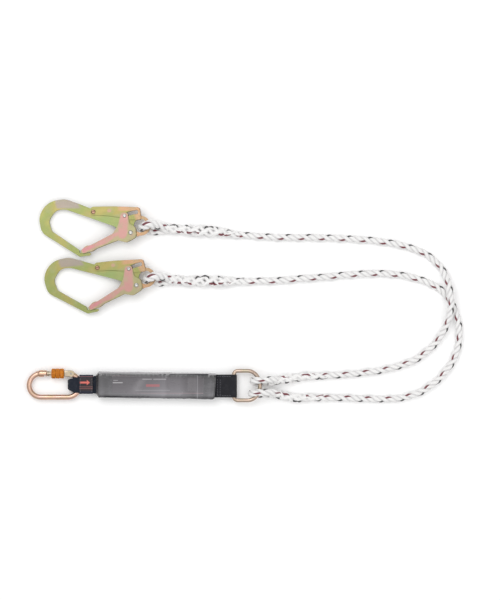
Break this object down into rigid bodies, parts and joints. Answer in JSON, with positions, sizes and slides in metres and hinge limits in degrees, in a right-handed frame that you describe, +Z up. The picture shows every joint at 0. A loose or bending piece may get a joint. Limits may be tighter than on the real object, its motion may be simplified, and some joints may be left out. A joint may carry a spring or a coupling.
{
  "type": "shock absorbing lanyard",
  "caption": "Twin-leg shock absorbing lanyard: absorber pack, screw-gate carabiner, D-ring, two laid rope legs and two scaffold hooks, laid flat.",
  "frame": {"origin": "centre of the absorber pack's flat underside, on the surface that the lanyard lies on", "axes": "+X from the carabiner along the pack to the D-ring and the ropes' turn, +Y across towards the scaffold hooks, +Z up"},
  "size_m": [0.841, 0.3915, 0.039],
  "materials": {
    "film": "clear heat-shrink film over a dark pack, wrinkled, semi-gloss",
    "webbing": "black polyester webbing",
    "label": "grey printed label under the film, print left out",
    "tag": "dark navy sleeve, satin",
    "plated_steel": "pink-gold zinc plating",
    "bare_steel": "bright steel",
    "sleeve": "orange, ribbed",
    "rope": "white three-strand polyamide rope with black and dark red tracer yarns",
    "hook_zinc": "yellow-green iridescent zinc plating",
    "gate_zinc": "copper-pink iridescent zinc plating"
  },
  "bodies": {
    "absorber": {"absorber_cover": "film", "tear_webbing_pack": "webbing", "instruction_label": "label", "rear_webbing_loop": "webbing", "rope_leg_a": "rope", "rope_leg_b": "rope", "hook_splice_a": "rope", "hook_splice_b": "rope", "ring_splice_a": "rope", "ring_splice_b": "rope"},
    "front_loop": {"front_webbing_loop": "webbing", "direction_tag": "tag"},
    "carabiner": {"carabiner_body": "plated_steel", "gate_hinge_pin": "bare_steel"},
    "carabiner_gate": {"carabiner_gate": "bare_steel", "gate_latch_pin": "bare_steel", "gate_plunger": "bare_steel", "gate_spring": "bare_steel"},
    "screw_sleeve": {"screw_sleeve": "sleeve"},
    "ring": {"d_ring": "plated_steel", "ring_eye_a": "rope", "ring_eye_b": "rope"},
    "hook_a": {"hook_a_body": "hook_zinc", "hook_a_gate_rivet": "bare_steel", "hook_a_lever_rivet": "bare_steel", "hook_a_gate_spring": "bare_steel", "hook_a_lever_spring": "bare_steel", "hook_eye_a": "rope"},
    "hook_a_gate": {"hook_a_gate": "gate_zinc", "hook_a_latch_pin": "bare_steel"},
    "hook_a_lever": {"hook_a_lever": "hook_zinc"},
    "hook_b": {"hook_b_body": "hook_zinc", "hook_b_gate_rivet": "bare_steel", "hook_b_lever_rivet": "bare_steel", "hook_b_gate_spring": "bare_steel", "hook_b_lever_spring": "bare_steel", "hook_eye_b": "rope"},
    "hook_b_gate": {"hook_b_gate": "gate_zinc", "hook_b_latch_pin": "bare_steel"},
    "hook_b_lever": {"hook_b_lever": "hook_zinc"}
  },
  "joints": [
    {"name": "front_loop_flex", "type": "hinge", "parent": "absorber", "child": "front_loop", "pos_m": [-0.118, 0, 0.013], "axis": [0, 1, 0], "range_deg": [0, 45]},
    {"name": "carabiner_swing", "type": "hinge", "parent": "front_loop", "child": "carabiner", "pos_m": [-0.1693, 0, 0.0099], "axis": [0, 0, 1], "range_deg": [-8, 35]},
    {"name": "carabiner_gate_hinge", "type": "hinge", "parent": "carabiner", "child": "carabiner_gate", "pos_m": [-0.163, 0.02275, 0.0099], "axis": [0, 0, 1], "range_deg": [0, 25], "stiffness_Nm_per_rad": 0.1, "springref_deg": -17.19},
    {"name": "screw_sleeve_slide", "type": "slide", "parent": "carabiner_gate", "child": "screw_sleeve", "axis": [-1, 0, 0], "range_m": [0, 0.0145]},
    {"name": "ring_swing", "type": "hinge", "parent": "absorber", "child": "ring", "pos_m": [0.1505, -0.0004, 0.013], "axis": [0, -1, 0], "range_deg": [0, 60]},
    {"name": "hook_a_swing", "type": "hinge", "parent": "absorber", "child": "hook_a", "pos_m": [0.02, 0.3015, 0.0105], "axis": [0, 0, 1], "range_deg": [-30, 0]},
    {"name": "hook_a_gate_hinge", "type": "hinge", "parent": "hook_a", "child": "hook_a_gate", "pos_m": [-0.04705, 0.2941, 0.01708], "axis": [-0.0715, 0, 0.9974], "range_deg": [-30, 0], "stiffness_Nm_per_rad": 0.2, "springref_deg": 17.19},
    {"name": "hook_a_lever_hinge", "type": "hinge", "parent": "hook_a", "child": "hook_a_lever", "pos_m": [-0.11927, 0.3339, 0.0119], "axis": [-0.0715, 0, 0.9974], "range_deg": [-3.5, 0]},
    {"name": "hook_b_swing", "type": "hinge", "parent": "absorber", "child": "hook_b", "pos_m": [0.029, 0.203, 0.0105], "axis": [0, 0, 1], "range_deg": [0, 30]},
    {"name": "hook_b_gate_hinge", "type": "hinge", "parent": "hook_b", "child": "hook_b_gate", "pos_m": [-0.03603, 0.19304, 0.01708], "axis": [-0.0712, -0.0062, 0.9974], "range_deg": [-30, 0], "stiffness_Nm_per_rad": 0.2, "springref_deg": 17.19},
    {"name": "hook_b_lever_hinge", "type": "hinge", "parent": "hook_b", "child": "hook_b_lever", "pos_m": [-0.11144, 0.2264, 0.0119], "axis": [-0.0712, -0.0062, 0.9974], "range_deg": [-3.5, 0]}
  ],
  "couplings": [
    {"joint": "hook_a_lever_hinge", "follows": "hook_a_gate_hinge", "ratio": 0.11333},
    {"joint": "hook_b_lever_hinge", "follows": "hook_b_gate_hinge", "ratio": 0.11333}
  ]
}
